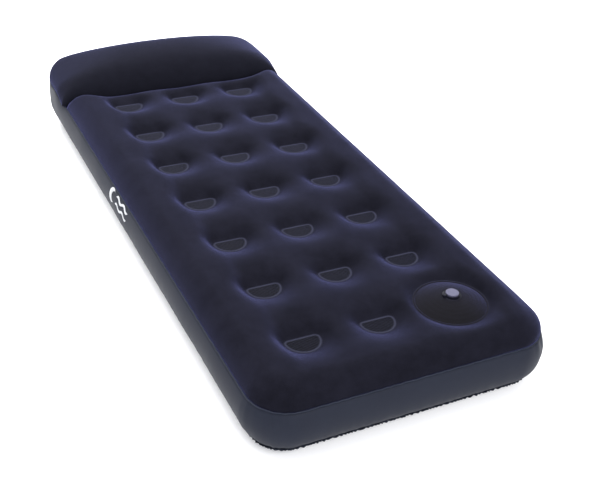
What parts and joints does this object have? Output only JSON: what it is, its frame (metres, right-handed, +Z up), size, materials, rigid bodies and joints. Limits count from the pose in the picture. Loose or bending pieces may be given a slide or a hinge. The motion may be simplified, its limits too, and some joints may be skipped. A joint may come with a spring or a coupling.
{
  "type": "air mattress",
  "caption": "Single flocked air mattress with a raised pillow, D-shaped weld dimples, a foot pump in the top and a screw-out deflation valve in the side.",
  "frame": {"origin": "middle of the flat underside, on the floor", "axes": "+Y towards the pillow end, -Y towards the pump end, +Z up, +X to the side with the valve"},
  "size_m": [0.7735, 1.85, 0.25],
  "materials": {
    "flocked_vinyl": "matt velvety flock",
    "side_vinyl": "satin vinyl",
    "bottom_vinyl": "satin vinyl",
    "inner_vinyl": "plain vinyl",
    "pump_vinyl": "satin vinyl",
    "pump_moulding": "moulded",
    "foam": "open-cell foam",
    "pale_plug": "moulded",
    "valve_plastic": "moulded",
    "soft_seal": "soft"
  },
  "bodies": {
    "mattress": {"side_band_left": "side_vinyl", "side_band_right": "side_vinyl", "side_band_head": "side_vinyl", "side_band_foot": "side_vinyl", "bottom_sheet": "bottom_vinyl", "bottom_seam": "bottom_vinyl", "top_sheet": "flocked_vinyl", "pillow_sheet": "flocked_vinyl", "pillow_seam": "side_vinyl", "top_seam": "inner_vinyl", "pillow_baffle": "inner_vinyl", "coil_beam_r1c1": "inner_vinyl", "coil_beam_r1c2": "inner_vinyl", "coil_beam_r1c3": "inner_vinyl", "coil_beam_r2c1": "inner_vinyl", "coil_beam_r2c2": "inner_vinyl", "coil_beam_r2c3": "inner_vinyl", "coil_beam_r3c1": "inner_vinyl", "coil_beam_r3c2": "inner_vinyl", "coil_beam_r3c3": "inner_vinyl", "coil_beam_r4c1": "inner_vinyl", "coil_beam_r4c2": "inner_vinyl", "coil_beam_r4c3": "inner_vinyl", "coil_beam_r5c1": "inner_vinyl", "coil_beam_r5c2": "inner_vinyl", "coil_beam_r5c3": "inner_vinyl", "coil_beam_r6c1": "inner_vinyl", "coil_beam_r6c2": "inner_vinyl", "coil_beam_r6c3": "inner_vinyl", "coil_beam_r7c1": "inner_vinyl", "coil_beam_r7c2": "inner_vinyl", "pump_rim": "pump_vinyl", "pump_wall": "inner_vinyl", "pump_patch": "inner_vinyl", "pump_foam": "foam", "pump_outlet": "pump_vinyl", "valve_base": "valve_plastic", "valve_strap": "valve_plastic"},
    "pump_top": {"pump_dome": "pump_vinyl", "pump_seat": "pump_moulding"},
    "pump_plug": {"pump_plug": "pale_plug", "pump_plug_strap": "pale_plug"},
    "pump_outlet_flap": {"pump_outlet_flap": "soft_seal"},
    "valve_leash": {"valve_leash": "valve_plastic"},
    "valve_insert": {"valve_insert": "valve_plastic", "valve_gasket": "soft_seal"},
    "valve_flap": {"valve_flap": "soft_seal"},
    "valve_cap": {"valve_cap": "valve_plastic", "valve_cap_strap": "valve_plastic"}
  },
  "joints": [
    {"name": "pump_press", "type": "slide", "parent": "mattress", "child": "pump_top", "axis": [0, 0, 1], "range_m": [-0.06, 0], "stiffness_N_per_m": 1500, "springref_m": 0.003, "deforming": ["pump_foam"]},
    {"name": "pump_plug_flip", "type": "hinge", "parent": "pump_top", "child": "pump_plug", "pos_m": [0.165, -0.735, 0.1923], "axis": [0, -1, 0], "range_deg": [0, 150]},
    {"name": "pump_outlet_flap_swing", "type": "hinge", "parent": "mattress", "child": "pump_outlet_flap", "pos_m": [0.0877, -0.735, 0.071], "axis": [0, 1, 0], "range_deg": [0, 30], "stiffness_Nm_per_rad": 0.0005, "springref_deg": -5.73},
    {"name": "valve_lift", "type": "slide", "parent": "mattress", "child": "valve_leash", "axis": [1, 0, 0], "range_m": [0, 0.01], "deforming": ["valve_strap"]},
    {"name": "valve_turn", "type": "hinge", "parent": "valve_leash", "child": "valve_insert", "pos_m": [0.38, -0.56, 0.086], "axis": [1, 0, 0], "range_deg": [0, 720]},
    {"name": "valve_flap_swing", "type": "hinge", "parent": "valve_insert", "child": "valve_flap", "pos_m": [0.3707, -0.56, 0.0973], "axis": [0, 1, 0], "range_deg": [0, 30], "stiffness_Nm_per_rad": 0.0005, "springref_deg": -5.73},
    {"name": "valve_cap_flip", "type": "hinge", "parent": "valve_insert", "child": "valve_cap", "pos_m": [0.3916, -0.56, 0.1055], "axis": [0, -1, 0], "range_deg": [0, 150]}
  ],
  "couplings": [
    {"joint": "valve_lift", "follows": "valve_turn", "m_per_rad": 0.0007957}
  ]
}
